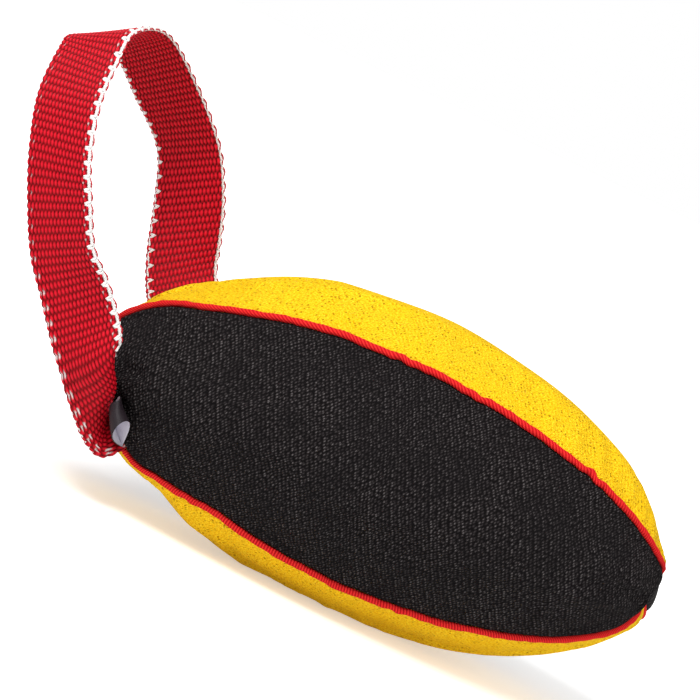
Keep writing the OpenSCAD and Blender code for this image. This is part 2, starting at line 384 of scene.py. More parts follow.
def skin(t, phi, off, depth):
    """Points of the body: t from tail to nose, phi round the axis, off from panel middle to seam."""
    inset = depth + SEAM_PINCH * np.abs(off) ** PINCH_POWER
    half, girth = HALF_LENGTH - inset, HALF_DIAMETER - inset
    radius = girth * np.sin(t)
    tail = np.cos(t) > 0
    nose = np.where(tail, 0, np.exp(-(radius / NOSE_REACH) ** 2))
    turn = phi - NOSE_TWIST * nose
    upper = np.clip(0.5 + 0.5 * np.sin(phi) / math.sin(FRONT_TOP), 0, 1)
    aside, lift = (low + (high - low) * upper for low, high in zip(NOSE_BOTTOM, NOSE_TOP))
    y = radius * np.cos(turn) + aside * nose
    rise = radius * np.sin(turn) + lift * nose
    along = np.sqrt(np.clip(1 - (np.hypot(y, rise) / girth) ** 2, 0, 1)) ** (2 / END_FULLNESS)
    x = np.where(tail, -half, half) * along
    x = x - np.sign(x) * TIP_DIMPLE * np.exp(-(radius / TIP_DIMPLE_REACH) ** 2)
    sag = TAIL_SAG * ease((SAG_FROM_TIP - HALF_LENGTH - x) / SAG_RUN)
    underside = ease((-np.sin(turn) - TAIL_TUCK_BELOW) / (1 - TAIL_TUCK_BELOW))
    fade = 1 - TAIL_TUCK_FADE * ease((TAIL_TUCK_END - x) / TAIL_TUCK_RUN)
    tuck = TAIL_TUCK * ease((TAIL_TUCK_FROM - x) / TAIL_TUCK_RUN) * underside * fade
    clear = AXIS_HEIGHT - sag + tuck + rise - depth
    z = depth + (clear + np.sqrt(clear ** 2 + REST_SOFTNESS ** 2)) / 2
    return np.stack([x, y, z], -1)


def unit(vectors):
    return vectors / np.linalg.norm(vectors, axis=-1, keepdims=True)


def arc_length(t):
    """Distance over the cloth from the tail tip to the angle t, by a fine sum."""
    fine = np.linspace(0, math.pi, 721)
    steps = np.hypot(HALF_LENGTH * np.sin(fine), HALF_DIAMETER * np.cos(fine))
    total = np.concatenate([[0], np.cumsum((steps[1:] + steps[:-1]) / 2 * np.diff(fine))])
    return np.interp(t, fine, total)


print("cloth length tip to tip", round(float(arc_length(math.pi)) / MM), "mm")

# %% [markdown]
# ## Sewing makes small ripples
# A machine-sewn seam is never quite straight: the piping wanders a little, and the cloth puckers beside
# it. Both are sums of a few sine waves with fixed phases, so that every run gives the same seam. The same
# waves move the piping and the panel edges beside it, so no gap opens between them. A few sharper kinks
# stand at places along the cloth. The lengths of the waves and the places are in millimetres.

# %% Seam wander and puckers
WANDER = 0.225 * MM
WANDER_WAVES = [(5.3, 1.0, 1.0), (3.1, 0.8, 2.3), (1.7, 0.25, 4.1)]
KINKS = {FRONT_TOP: [(115, 0.45), (143, 0.4), (191, 0.9)], FRONT_BOTTOM: [(70, 0.4), (150, 0.4)]}
KINK_WAVE = 1.15
KINK_REACH = 5.5
PUCKER_WAVE = 1.45
PUCKER_DRIFT = 11
PUCKER_BEAT = 8.7
TAIL_CLIMB = math.radians(15)
TAIL_CLIMB_FROM = math.radians(22)
TAIL_CLIMB_RUN = math.radians(45)
TOP_SEAM_LIFT = math.radians(1.2)
TAIL_DROP = math.radians(4)
TAIL_DROP_FROM = math.radians(35)
TAIL_DROP_TO = math.radians(50)
TAIL_DROP_RUN = math.radians(7)
SEAM_PHASE = {FRONT_TOP: 0.0, FRONT_BOTTOM: 1.9, BACK_BOTTOM: 3.7, BACK_TOP: 5.1}


def seam_key(phi):
    return min(SEAM_PHASE, key=lambda s: abs(math.remainder(s - phi, 2 * math.pi)))


def wander(phi, t):
    """Sideways wander of a seam, in metres, dying out towards the tips."""
    s = arc_length(t) / MM
    seam = seam_key(phi)
    moves = sum(WANDER * share * np.sin(s / wave + k * SEAM_PHASE[seam]) for wave, share, k in WANDER_WAVES)
    for place, size in KINKS.get(seam, []):
        past = s - place
        moves = moves + size * MM * np.sin(past / KINK_WAVE) * np.exp(-(past / KINK_REACH) ** 2)
    return moves * np.sin(t)


def seam_at(phi, t):
    """Angle of a seam round the axis. Near the tail the front upper one climbs and the lower one dips."""
    climb = TAIL_CLIMB * (1 - ease((t - TAIL_CLIMB_FROM) / TAIL_CLIMB_RUN))
    drop = TAIL_DROP * ease((t - TAIL_DROP_FROM) / TAIL_DROP_RUN) * ease((TAIL_DROP_TO - t) / TAIL_DROP_RUN)
    moves = {FRONT_TOP: -climb - TOP_SEAM_LIFT, FRONT_BOTTOM: drop}
    return phi + moves.get(seam_key(phi), 0 * t)


def pucker(phi, t):
    """Depth of the puckers right beside a seam, between minus one and one."""
    s = arc_length(t) / MM
    p = SEAM_PHASE[seam_key(phi)]
    ripple = np.sin(s / PUCKER_WAVE + 2 * np.sin(s / PUCKER_DRIFT + p))
    return ripple * (0.6 + 0.4 * np.sin(s / PUCKER_BEAT + 3 * p)) * np.sin(t)


# %% [markdown]
# ## Four gores
# Each gore is a leaf-shaped panel of coarse cloth. The grid is laid from one seam to the next, and the
# last of it is rolled down into the seam as a seam allowance. Its UV map holds real distances on the flat
# cloth, so the weave keeps one size all over. The points at the seams and tips are marked, to be held
# later. One ball with painted panels would be quicker to make, but it would have no edges to turn in and
# no seams to pinch.

# %% Gores
CLOTH_THICKNESS = 1.8 * MM
SEAM_GAP = 0.9 * MM
GAP_LIMIT = 0.6
GAP_FROM = 1 * MM
GAP_RUN = 11 * MM
ROLL_SHARE = 0.93
ROLL_DEPTH = 4 * MM
PUCKER = 0.55 * MM
PUCKER_REACH = 6 * MM
SWELL = 0.35 * MM
SWELL_WAVES = (23, 5, 41, 3)
SWELL_FINE = 0.6
PULL_POWER = 6
PUCKER_POWER = 12
PAD_START = 0.5 * MM
HELD_SHARE = 0.97
HELD_TIP = 9 * MM
GORE_ROWS = 220
GORE_COLUMNS = 64


def gore(name, middle, span):
    half = span / 2

    def where(u, v):
        t = TIP_ANGLE + (math.pi - 2 * TIP_ANGLE) * u
        share = 2 * v - 1
        flat = np.clip(share / ROLL_SHARE, -1, 1)
        rolled = np.clip((np.abs(share) - ROLL_SHARE) / (1 - ROLL_SHARE), 0, 1)
        return t, flat, rolled

    def place(u, v):
        t, flat, rolled = where(u, v)
        girth = (HALF_DIAMETER - SEAM_PINCH) * np.sin(t)
        gap = np.arcsin(np.minimum(GAP_LIMIT, SEAM_GAP / girth)) * ease((girth - GAP_FROM) / GAP_RUN)
        upper, lower = middle + half, middle - half
        reach = np.where(flat > 0, seam_at(upper, t) - middle, middle - seam_at(lower, t))
        turn = flat * (reach - gap)
        pull = np.where(flat > 0, wander(upper, t), wander(lower, t)) * np.abs(flat) ** PULL_POWER
        crease = np.where(flat > 0, pucker(upper, t), pucker(lower, t))
        from_seam = (1 - np.abs(flat)) * half * girth
        along, around, fine, slant = SWELL_WAVES
        swell = np.sin(u * along + middle) * np.sin(turn * around + 2 * middle)
        swell = swell + SWELL_FINE * np.sin(u * fine + slant * turn)
        depth = ROLL_DEPTH * rolled + (PAD_START - SWELL * swell * np.sin(t)) * (1 - flat ** 2)
        fading = np.exp(-from_seam / PUCKER_REACH) * (1 - np.abs(flat) ** PUCKER_POWER)
        depth = depth + PUCKER * crease * fading
        return skin(t, middle + turn + pull / np.maximum(girth, MM), flat, depth)

    def cloth_place(u, v):
        t, flat, rolled = where(u, v)
        across = flat * half * HALF_DIAMETER * np.sin(t) + np.sign(flat) * rolled * ROLL_DEPTH
        return arc_length(t), across

    piece, u, v = laid_grid(name, GORE_ROWS, GORE_COLUMNS, place, cloth_place)
    t, flat, rolled = where(u, v)
    held = (np.abs(flat) > HELD_SHARE) | (np.sin(t) * HALF_DIAMETER < HELD_TIP)
    give_values(piece, "sewn", held.astype(float))
    close_up(piece)
    return piece


CUTS = {
    "front": (FRONT, DARK_SPAN), "top": (TOP, BRIGHT_SPAN),
    "back": (BACK, DARK_SPAN), "bottom": (BOTTOM, BRIGHT_SPAN),
}
gores = {side: gore(side + "_gore", *cut) for side, cut in CUTS.items()}
print("gores:", {side: len(piece.data.polygons) for side, piece in gores.items()})

# %% [markdown]
# ## The filling pushes the cloth out
# A short cloth simulation gives the panels the tension that a firm filling does. The seams and tips are
# pinned, gravity is off, and the cloth is let grow by a small share, so it swells and gathers in tiny
# puckers beside the pinned seams. No point may move further than a cap, and nothing goes below the floor.
# Only then does a Solidify modifier give the cloth its thickness, inwards. The swell could be modelled
# too, but a simulation gathers the cloth where real cloth gathers.

# %% Pressure on the gores
PAD_FRAMES = 16
PAD_CAP = 1.4 * MM
PAD_FLOOR = 0.3 * MM
CLOTH_RULES = {
    "vertex_group_mass": "pins", "quality": 6, "mass": 0.05, "shrink_min": -0.012,
    "tension_stiffness": 25, "compression_stiffness": 25, "shear_stiffness": 8, "bending_stiffness": 0.4,
    "use_pressure": True, "uniform_pressure_force": 4.0,
}


def inflate_later(piece):
    """Adds the cloth modifier that pushes a panel out between its sewn edges."""
    sewn = np.empty(len(piece.data.vertices))
    piece.data.attributes["sewn"].data.foreach_get("value", sewn)
    pins = piece.vertex_groups.new(name="pins")
    pins.add(np.flatnonzero(sewn > 0.5).tolist(), 1.0, "REPLACE")
    cloth = piece.modifiers.new("pressure", "CLOTH")
    cloth.point_cache.frame_start = 1
    cloth.point_cache.frame_end = PAD_FRAMES
    for name, value in CLOTH_RULES.items():
        setattr(cloth.settings, name, value)
    cloth.settings.effector_weights.gravity = 0
    cloth.collision_settings.use_collision = False


def settle(piece, before):
    """Applies the simulated shape, with every move capped, and returns the mean and largest move."""
    apply_modifiers(piece)
    move = points_of(piece) - before
    far = np.linalg.norm(move, axis=1, keepdims=True)
    after = before + move * np.minimum(1, PAD_CAP / np.maximum(far, 1e-9))
    after[:, 2] = np.maximum(after[:, 2], np.minimum(before[:, 2], PAD_FLOOR))
    move_points(piece, after)
    return round(float(far.mean()) / MM, 2), round(float(far.max()) / MM, 2)


before = {side: points_of(piece) for side, piece in gores.items()}
for piece in gores.values():
    inflate_later(piece)
for frame_number in range(1, PAD_FRAMES + 1):
    scene.frame_set(frame_number)
print("moves in mm:", {side: settle(piece, before[side]) for side, piece in gores.items()})
scene.frame_set(1)
for piece in gores.values():
    thick = piece.modifiers.new("cloth", "SOLIDIFY")
    thick.thickness = CLOTH_THICKNESS
    thick.offset = -1
    apply_modifiers(piece)

# %% [markdown]
# ## Piping
# Piping is a cord wrapped in a bias-cut tape. Its bead shows as a thin ribbed roll between the panels.
# Here the grid is rolled into a tube along the seam, with slanting ribs pressed into it and a few soft
# lumps, as an uneven cord gives. A plainer tube inside it is the cord. Where a handle end is sewn in, both
# stop at each side of it, so those seams have two lengths. A lay is the pitch of the ribs along the bead,
# how many of them start side by side, and the sides of the tube. A bump in the material could show the
# ribs as well, but not in the outline, so they are in the mesh.

# %% Piping beads and cords
BEAD_RADIUS = 1.18 * MM
BEAD_LIFT = 0.55 * MM
BEAD_LUMPS = 0.11
LUMP_WAVES = (1.1, 6.1, 3.7)
BEAD_ROOT = 6 * MM
BEAD_STEP = 0.4 * MM
SIDE_STEP = 0.01
END_ROUND = 1.2
RIB_DEPTH = 0.06
POINTS_PER_RIB = 5
LONG_LAY = (1.15 * MM, 5, 30)
ROUND_LAY = (0.85 * MM, 1, 16)
LAY = {FRONT_TOP: LONG_LAY, FRONT_BOTTOM: ROUND_LAY, BACK_BOTTOM: ROUND_LAY, BACK_TOP: LONG_LAY}
CORD_RADIUS = 0.8 * MM
CORD_SIDES = 10
CORD_STEP = 1.5 * MM
BEAD_TIP_ANGLE = math.asin(1.3 * MM / HALF_DIAMETER)


def ring(middle, side, lift, reach, v):
    """Points round the middle of a tube, v being the share of a turn from the side towards the lift."""
    angle = 2 * math.pi * v
    return middle + reach[:, None] * (np.cos(angle)[:, None] * side + np.sin(angle)[:, None] * lift)


def seam_tube(name, phi, start, end, step, sides, radius_rule, radius):
    """A tube along a seam, whose radius the rule varies along u and round v, closed at both ends."""
    length = float(arc_length(end) - arc_length(start))

    def place(u, v):
        t = start + (end - start) * u
        turn = seam_at(phi, t)
        side = unit(skin(t, turn + SIDE_STEP, 1.0, 0.0) - skin(t, turn - SIDE_STEP, 1.0, 0.0))
        middle = skin(t, turn, 1.0, -BEAD_LIFT) + wander(phi, t)[:, None] * side
        lift = unit(middle - skin(t, turn, 1.0, BEAD_ROOT))
        end_taper = np.sqrt(np.clip(np.minimum(u, 1 - u) * length / (END_ROUND * radius), 0, 1))
        return ring(middle, side, lift, radius * radius_rule(u * length, v, t) * end_taper, v)

    def cloth_place(u, v):
        return u * length, v * 2 * math.pi * radius

    piece, u, v = laid_grid(name, int(length / step), sides, place, cloth_place)
    return piece, u * length, v


def ribs(seam, s, v):
    """Ridges of the wrapped tape, lying nearly along the bead or straight round it."""
    pitch, starts = LAY[seam][:2]
    return np.cos(2 * math.pi * (s / pitch + starts * v))


def bead(name, phi, start, end):
    seam = seam_key(phi)
    pitch, sides = LAY[seam][::2]

    def radius_rule(s, v, t):
        short, drift, beat = (arc_length(t) / MM / wave for wave in LUMP_WAVES)
        lumps = np.sin(short + 2 * np.sin(drift)) * np.sin(beat + SEAM_PHASE[seam])
        return 1 + RIB_DEPTH * ribs(seam, s, v) + BEAD_LUMPS * lumps

    step = min(pitch / POINTS_PER_RIB, BEAD_STEP)
    piece, s, v = seam_tube(name, phi, start, end, step, sides, radius_rule, BEAD_RADIUS)
    # The rib value is kept for the material, which paints shade in the grooves and highlight on the ridges.
    give_values(piece, "rib", (ribs(seam, s, v) + 1) / 2)
    close_up(piece)
    return piece


def cord(name, phi, start, end):
    piece = seam_tube(name, phi, start, end, CORD_STEP, CORD_SIDES, lambda *_: 1.0, CORD_RADIUS)[0]
    close_up(piece)
    return piece


def join(pieces, name):
    make_active(pieces[0])
    for piece in pieces:
        piece.select_set(True)
    bpy.ops.object.join()
    pieces[0].name = name
    pieces[0].data.name = name
    return pieces[0]


def seam_turn(t, length):
    return length / math.hypot(HALF_LENGTH * math.sin(t), HALF_DIAMETER * math.cos(t))


STRAP_WIDTH = 25 * MM
LOWER_ROOT = math.radians(30)
UPPER_ROOT = math.radians(36)
TIP_SIDE_ROOM = 3 * MM
NOSE_SIDE_ROOM = -1.5 * MM
NOSE_END = math.pi - BEAD_TIP_ANGLE


def along_seam(make, name, phi, root=None):
    if root is None:
        return make(name, phi, BEAD_TIP_ANGLE, NOSE_END)
    tip_side = root - seam_turn(root, STRAP_WIDTH / 2 + TIP_SIDE_ROOM)
    nose_side = root + seam_turn(root, STRAP_WIDTH / 2 + NOSE_SIDE_ROOM)
    return join([
        make(name + "_tail", phi, BEAD_TIP_ANGLE, tip_side),
        make(name + "_nose", phi, nose_side, NOSE_END),
    ], name)


SEAMS = {
    "front_top": (FRONT_TOP, None),
    "front_bottom": (FRONT_BOTTOM, LOWER_ROOT),
    "back_bottom": (BACK_BOTTOM, None),
    "back_top": (BACK_TOP, UPPER_ROOT),
}
pipings = {seam: along_seam(bead, seam + "_bead", *where) for seam, where in SEAMS.items()}
cords = {seam: along_seam(cord, seam + "_core", *where) for seam, where in SEAMS.items()}
print("piping faces:", {seam: len(piece.data.polygons) for seam, piece in pipings.items()})

# %% [markdown]
# ## The handle's line
# The handle is one length of webbing. It leaves the lower seam, curls up round the tail, makes the loop
# and goes back into the opposite upper seam. The line through it and the way its width leans are short
# lists of points in round numbers, the same ones that the CAD solids follow, joined by a smooth curve. A
# curve with a profile could carry the webbing too, but its lean is easier to steer with a list of its own.

# %% Handle line
STRAP_THICKNESS = 2.2 * MM
SEAM_TUCK = 5.6 * MM
FRONT_STRAND = [
    (-3, -4, -2), (-6, -9, 3), (-9, -15, 11), (-12, -20, 18), (-18, -21, 26), (-27, -22, 37),
    (-35, -23, 46), (-42, -24, 59), (-49, -23, 74), (-54, -18, 90), (-55, -9, 104), (-54, 1, 112),
]
BACK_STRAND = [(-5, 6, 7), (-9, 10, 17), (-14, 13, 31), (-22, 13, 47), (-36, 5, 61), (-50, -10, 73)]
FRONT_LEAN = [
    (-6, 4, 7), (-3, 2, 9), (1, -1, 10), (5, -3, 8), (8, -3, 8), (8, -4, 7),
    (8, -5, 5), (8, -5, 4), (8, -5, 2), (8, -5, 2), (7, -5, 1), (7, -5, 4),
]
BACK_LEAN = [(7, 3, 5), (8, 1, 5), (8, -2, 5), (8, -5, 5), (8, -5, 6), (6, -5, 5)]
ROOT_REACH = math.radians(10)
CURVE_STEPS = 24
FRAME_STEP = 1.0 * MM


def seam_point(t, phi):
    return skin(np.array([t]), phi, 1.0, 0.0)[0]


def root_frame(root, phi):
    """A sewn end's seam point, the way along the seam towards the nose and the way out of it."""
    along = unit(seam_point(root + ROOT_REACH, phi) - seam_point(root - ROOT_REACH, phi))
    around = np.array([0, -math.sin(phi), math.cos(phi)])
    return seam_point(root, phi), along, unit(np.cross(around, along))


lower_point, lower_along, lower_out = root_frame(LOWER_ROOT, FRONT_BOTTOM)
upper_point, upper_along, upper_out = root_frame(UPPER_ROOT, BACK_TOP)
tucks = np.array([1, 0.5, 0])[:, None] * SEAM_TUCK
knots = np.concatenate([
    lower_point - tucks * lower_out,
    lower_point + np.array(FRONT_STRAND) * MM,
    upper_point + np.array(BACK_STRAND[::-1]) * MM,
    upper_point - tucks[::-1] * upper_out,
])
leans = np.concatenate([
    np.repeat([-lower_along], 3, 0),
    unit(np.array(FRONT_LEAN, float)),
    unit(np.array(BACK_LEAN[::-1], float)),
    np.repeat([upper_along], 3, 0),
])


def smooth_through(points):
    """A smooth curve through a row of points."""
    ends = np.concatenate([points[:1], points, points[-1:]])
    a, b, c, d = ends[:-3], ends[1:-2], ends[2:-1], ends[3:]
    s = np.linspace(0, 1, CURVE_STEPS, endpoint=False)[:, None, None]
    curve = b + s / 2 * (c - a + s * (2 * a - 5 * b + 4 * c - d + s * (3 * (b - c) + d - a)))
    return np.concatenate([curve.transpose(1, 0, 2).reshape(-1, 3), points[-1:]])


fine_line = smooth_through(knots)
fine_lean = unit(smooth_through(leans))
fine_s = np.concatenate([[0], np.cumsum(np.linalg.norm(np.diff(fine_line, axis=0), axis=1))])
strap_length = float(fine_s[-1])


def at(s, values):
    return np.stack([np.interp(s, fine_s, values[:, k]) for k in range(3)], -1)


def strap_frame(s):
    """Middle, way across and face direction of the webbing at distances along it."""
    ahead = at(s + FRAME_STEP, fine_line) - at(s - FRAME_STEP, fine_line)
    across = unit(at(s, fine_lean))
    return at(s, fine_line), across, unit(np.cross(across, unit(ahead)))


print("webbing length", round(strap_length / MM), "mm")

# %% [markdown]
# ## Webbing
# Heavy webbing is woven from thick yarns that show as rows of upright beads, each row set half a bead
# aside from the last, with a small loop at both ends of every row. The grid is wrapped round the strap
# like a flat tube: one face out, an edge, the other face back, and an edge. A rule raises the beads, and
# the same numbers are kept on the points for the material, which paints shade into the hollows and a
# lighter red on the beads' tops as painted highlight. Near the lower seam the webbing is bowed across its
# width, because it is folded over there. Each row of pale dashes has its place across, its length in rows
# and its width, and what both gain towards the lower seam. A flat strip with a pattern would look smooth
# along its edges, so the beads are in the mesh.

# %% Webbing strap
ROW_PITCH = 2.45 * MM
BEAD_PITCH = 1.4 * MM
BEAD_RELIEF = 0.75 * MM
BEAD_LONG = 0.60
BEAD_WIDE = 0.52
EDGE_LOOP = 0.5 * MM
EDGE_LOOP_MIDDLE = 0.6
EDGE_LOOP_POWER = 8
EDGE_ROUND = 0.08
POINTS_PER_ROW = 4
STRAP_COLUMNS = 180
OUTSIDE_SHARE = 0.58
NEAR_HALF = 11.6 * MM
FAR_HALF = 12.4 * MM
LOW_END_FROM = 45 * MM
LOW_END_RUN = 50 * MM
DASH_EDGE = 1.4
DASHES = [
    (NEAR_HALF - 1.6 * MM, 0.26, 0.0, 0.26 * MM, 0.0),
    (-FAR_HALF + 0.9 * MM, 0.0, 0.40, 0.0, 0.40 * MM),
    (-FAR_HALF + 2.1 * MM, 0.20, 0.28, 0.24 * MM, 0.16 * MM),
]
BOW = 6.0 * MM
BOW_TO_NEAR = 0.7
BOW_MIDDLE = 26 * MM
BOW_RUN = 17 * MM


def strap_profile(v):
    """Where a point of the tube lies: across from -1 to 1, and whether it is on the outer face."""
    lap = np.mod(v, 1.0)
    outside = lap < OUTSIDE_SHARE
    run = np.where(outside, lap / OUTSIDE_SHARE, (lap - OUTSIDE_SHARE) / (1 - OUTSIDE_SHARE))
    across = np.where(outside, 2 * run - 1, 1 - 2 * run)
    return across, outside


def width_at(across):
    return np.where(across > 0, NEAR_HALF, FAR_HALF) * across


def weave_height(s, width):
    """Height of the woven beads, from 0 in the hollows to 1 on a bead."""
    row = s / ROW_PITCH
    best = np.zeros_like(s)
    for step in (-1, 0, 1):
        index = np.floor(row) + step
        ahead = (row - index - 0.5) / BEAD_LONG
        column = width / BEAD_PITCH + 0.5 * np.mod(index, 2)
        aside = (column - np.round(column)) / BEAD_WIDE
        best = np.maximum(best, np.sqrt(np.clip(1 - ahead ** 2 - aside ** 2, 0, 1)))
    return best


def bow(s, across):
    """How far the folded lower end bulges outwards, in metres."""
    return BOW * np.exp(-((s - BOW_MIDDLE) / BOW_RUN) ** 2) * (1 - across ** 2) * (1 + BOW_TO_NEAR * across)


def strap_place(u, v):
    s = u * strap_length
    across, outside = strap_profile(v)
    middle, lean, face = strap_frame(s)
    swing = np.abs(np.sin(math.pi * s / ROW_PITCH)) - EDGE_LOOP_MIDDLE
    width = width_at(across) + EDGE_LOOP * swing * across ** EDGE_LOOP_POWER * np.sign(across)
    near_edge = np.clip((1 - np.abs(across)) / EDGE_ROUND, 0, 1)
    round_edge = np.sqrt(1 - (1 - near_edge) ** 2)
    base = STRAP_THICKNESS / 2 - BEAD_RELIEF
    height = (base + BEAD_RELIEF * weave_height(s, width_at(across))) * round_edge
    rise = np.where(outside, height, -height) + bow(s, across)
    return middle + width[:, None] * lean + rise[:, None] * face


def strap_cloth(u, v):
    across, outside = strap_profile(v)
    return u * strap_length, width_at(across) + np.where(outside, 0, 2 * STRAP_WIDTH)


def pale_dashes(s, width, outside):
    """Small pale stitches one bead in from the edges, larger by the lower seam on the far edge."""
    ahead = 1 - np.abs(np.mod(s / ROW_PITCH, 2) - 1)
    low_end = 1 - ease((s - LOW_END_FROM) / LOW_END_RUN)
    mask = np.zeros_like(s)
    for place, long, low_long, wide, low_wide in DASHES:
        share_along = ahead / np.maximum(long + low_long * low_end, 1e-6)
        share_across = (width - place) / np.maximum(wide + low_wide * low_end, 1e-9)
        mask = np.maximum(mask, np.clip(DASH_EDGE * (1 - share_along ** 2 - share_across ** 2), 0, 1))
    return np.where(outside, mask, 0)


strap_rows = int(strap_length / ROW_PITCH * POINTS_PER_ROW)
strap, u, v = laid_grid("handle_webbing", strap_rows, STRAP_COLUMNS, strap_place, strap_cloth)
across, outside = strap_profile(v)
give_values(strap, "weave", weave_height(u * strap_length, width_at(across)))
give_values(strap, "pale", pale_dashes(u * strap_length, width_at(across), outside))
close_up(strap)
print("webbing faces", len(strap.data.polygons))

# %% [markdown]
# ## Edge yarns
# A pale yarn binds both edges of the webbing. On the near edge it runs just outside the last bead and
# hooks onto the outer face at every second row, which shows as a white line with small teeth. On the far
# edge it lies on the inner face. Each yarn is a thin tube along that path, rolled from a grid as the
# piping was. A fine red thread loops outside the near one, and joins the webbing. A white stripe in the
# material would lie flat, and these stand out from the edge.

# %% Edge yarns
YARN_RADIUS = 0.39 * MM
TOOTH_PITCH = 2 * ROW_PITCH
TOOTH_DEPTH = 1.6 * MM
TOOTH_SHARE = 0.115
YARN_SIDES = 8
YARN_START = 6.5 * MM
YARN_REACH = 0.15 * MM
POINTS_PER_TOOTH = 22
PLY_DEPTH = 0.14
PLY_TWIST = 1.1 * MM
LINE_OUT = 0.5 * MM
LINE_RIPPLE = 0.2 * MM
LINE_SINK = 0.05 * MM
TEETH_RADIUS = 1.3 * YARN_RADIUS
TEETH_OUT = 0.35 * MM
TEETH_BASE = 0.3 * MM
TEETH_RISE = 0.75 * MM
FAR_IN = 0.75 * MM
FAR_BASE = 0.55 * MM
FAR_RISE = 0.6 * MM
LOOP_RADIUS = 0.24 * MM
LOOP_OUT = 0.6 * MM
LOOP_REACH = 0.65 * MM
LOOP_SINK = 0.2 * MM
LOOP_WEAVE = 0.75


def edge_tube(name, radius, route):
    """A thin tube along the webbing, whose route gives the distance across and the rise on the face."""
    start, end = YARN_START, strap_length - YARN_START
    rows = int((end - start) / TOOTH_PITCH * POINTS_PER_TOOTH)

    def path(s):
        middle, lean, face = strap_frame(s)
        width, rise = route(s)
        half = np.where(width > 0, NEAR_HALF, FAR_HALF)
        rise = rise + bow(s, np.clip(width / half, -1, 1))
        return middle + width[:, None] * lean + rise[:, None] * face

    def place(u, v):
        s = start + (end - start) * u
        ahead = unit(path(s + YARN_REACH) - path(s - YARN_REACH))
        sideways = unit(np.cross(ahead, strap_frame(s)[2]))
        taper = np.clip(np.minimum(u, 1 - u) * rows / 2, 0, 1)
        plies = 1 + PLY_DEPTH * np.cos(2 * math.pi * (2 * v + s / PLY_TWIST))
        return ring(path(s), sideways, np.cross(sideways, ahead), radius * taper * plies, v)

    def cloth_place(u, v):
        return start + (end - start) * u, v * 2 * math.pi * radius

    return laid_grid(name, rows, YARN_SIDES, place, cloth_place)[0]


def tooth(s, shift):
    beat = np.abs(np.mod(s / TOOTH_PITCH + shift, 1) - 0.5)
    return np.clip(1 - beat / TOOTH_SHARE, 0, 1)


def line_route(s):
    ripple = LINE_RIPPLE * np.sin(2 * math.pi * s / ROW_PITCH)
    return NEAR_HALF + LINE_OUT + ripple, np.full_like(s, -LINE_SINK)


def teeth_route(s):
    step_in = tooth(s, 0)
    return NEAR_HALF + TEETH_OUT - TOOTH_DEPTH * step_in, TEETH_BASE + TEETH_RISE * np.sqrt(step_in)


def far_route(s):
    step_in = tooth(s, 0.5)
    return -FAR_HALF + FAR_IN + TOOTH_DEPTH * step_in, -FAR_BASE - FAR_RISE * np.sqrt(step_in)


def loop_route(s):
    swing = np.abs(np.sin(math.pi * (s / TOOTH_PITCH + 0.5)))
    return NEAR_HALF + LOOP_OUT + LOOP_REACH * swing ** 2, LOOP_SINK * (swing - 1)


near_line = edge_tube("near_edge_yarn", YARN_RADIUS, line_route)
near_teeth = edge_tube("near_edge_teeth", TEETH_RADIUS, teeth_route)
far_yarn = edge_tube("far_edge_yarn", YARN_RADIUS, far_route)
edge_loops = edge_tube("edge_loops", LOOP_RADIUS, loop_route)
give_values(edge_loops, "weave", np.full(len(edge_loops.data.vertices), LOOP_WEAVE))
give_values(edge_loops, "pale", np.zeros(len(edge_loops.data.vertices)))
for piece in (near_line, near_teeth, far_yarn, edge_loops):
    close_up(piece)
near_yarn = join([near_line, near_teeth], "near_edge_yarn")
strap = join([strap, edge_loops], "handle_webbing")
print("yarn faces", len(near_yarn.data.polygons), len(far_yarn.data.polygons))

# %% [markdown]
# ## Label
# Beside the lower handle end a short satin tape is folded into a loop and sewn into the same seam. From its
# open end it looks like a drop. It is left blank. The grid is bent round the drop's outline and given a
# thickness, so that the inside of the tape, painted pale as a painted sheen, shows in the loop. A ray from
# each point of the open end finds where the webbing is, and the loop stops just there, so nothing comes out
# behind the handle.

# %% Label loop
LABEL_LENGTH = 22 * MM
LABEL_HEIGHT = 16 * MM
LABEL_BULGE = 9.6 * MM
LABEL_SKEW = 1.2
LABEL_TAPER = 1.5
LABEL_SWAG = 0.5 * MM
LABEL_GIRTH = 2.4 * LABEL_HEIGHT
LABEL_FLAT_END = 0.6
LABEL_SLANT = 0.28
LABEL_TAPE = 0.35 * MM
LABEL_ALONG_SEAM = 10.8 * MM
LABEL_SWEEP = math.radians(20)
LABEL_TURN = math.radians(-8)
LABEL_SINK = 0.18
LABEL_OFF = 1.0 * MM
LABEL_CLEAR = 3 * MM
LABEL_BITE = 0.7 * MM
LABEL_SHORT = 9.5 * MM
LABEL_LONG = 13 * MM
LABEL_SMOOTHING = 4
LABEL_ROWS = 40
LABEL_COLUMNS = 72

label_t = LOWER_ROOT + seam_turn(LOWER_ROOT, LABEL_ALONG_SEAM)
label_base, seam_way, label_out = root_frame(label_t, FRONT_BOTTOM)
panel_way = -np.array([0, -math.sin(FRONT_BOTTOM), math.cos(FRONT_BOTTOM)])
label_sweep = math.sin(LABEL_SWEEP) * panel_way - math.cos(LABEL_SWEEP) * seam_way
label_sweep = unit(label_sweep - LABEL_SINK * label_out)
label_lean = math.cos(LABEL_TURN) * panel_way - math.sin(LABEL_TURN) * seam_way
label_base = label_base + LABEL_OFF * label_out


def label_outline(u, v):
    """The drop at a share u of the loop's length, before it is drawn out along the sweep."""
    turn = 2 * math.pi * v
    high = LABEL_HEIGHT * (1 - np.cos(turn)) / 2
    belly = np.abs(np.sin(turn / 2)) ** LABEL_TAPER
    wide = LABEL_BULGE / 2 * (LABEL_SKEW * np.sin(turn) + 1) * (LABEL_FLAT_END + (1 - LABEL_FLAT_END) * u)
    out = belly * (wide + LABEL_SWAG * np.sin(math.pi * u))
    slant = LABEL_SLANT * high * u
    drop = high[:, None] * label_lean + out[:, None] * label_out
    return label_base + drop + slant[:, None] * label_sweep


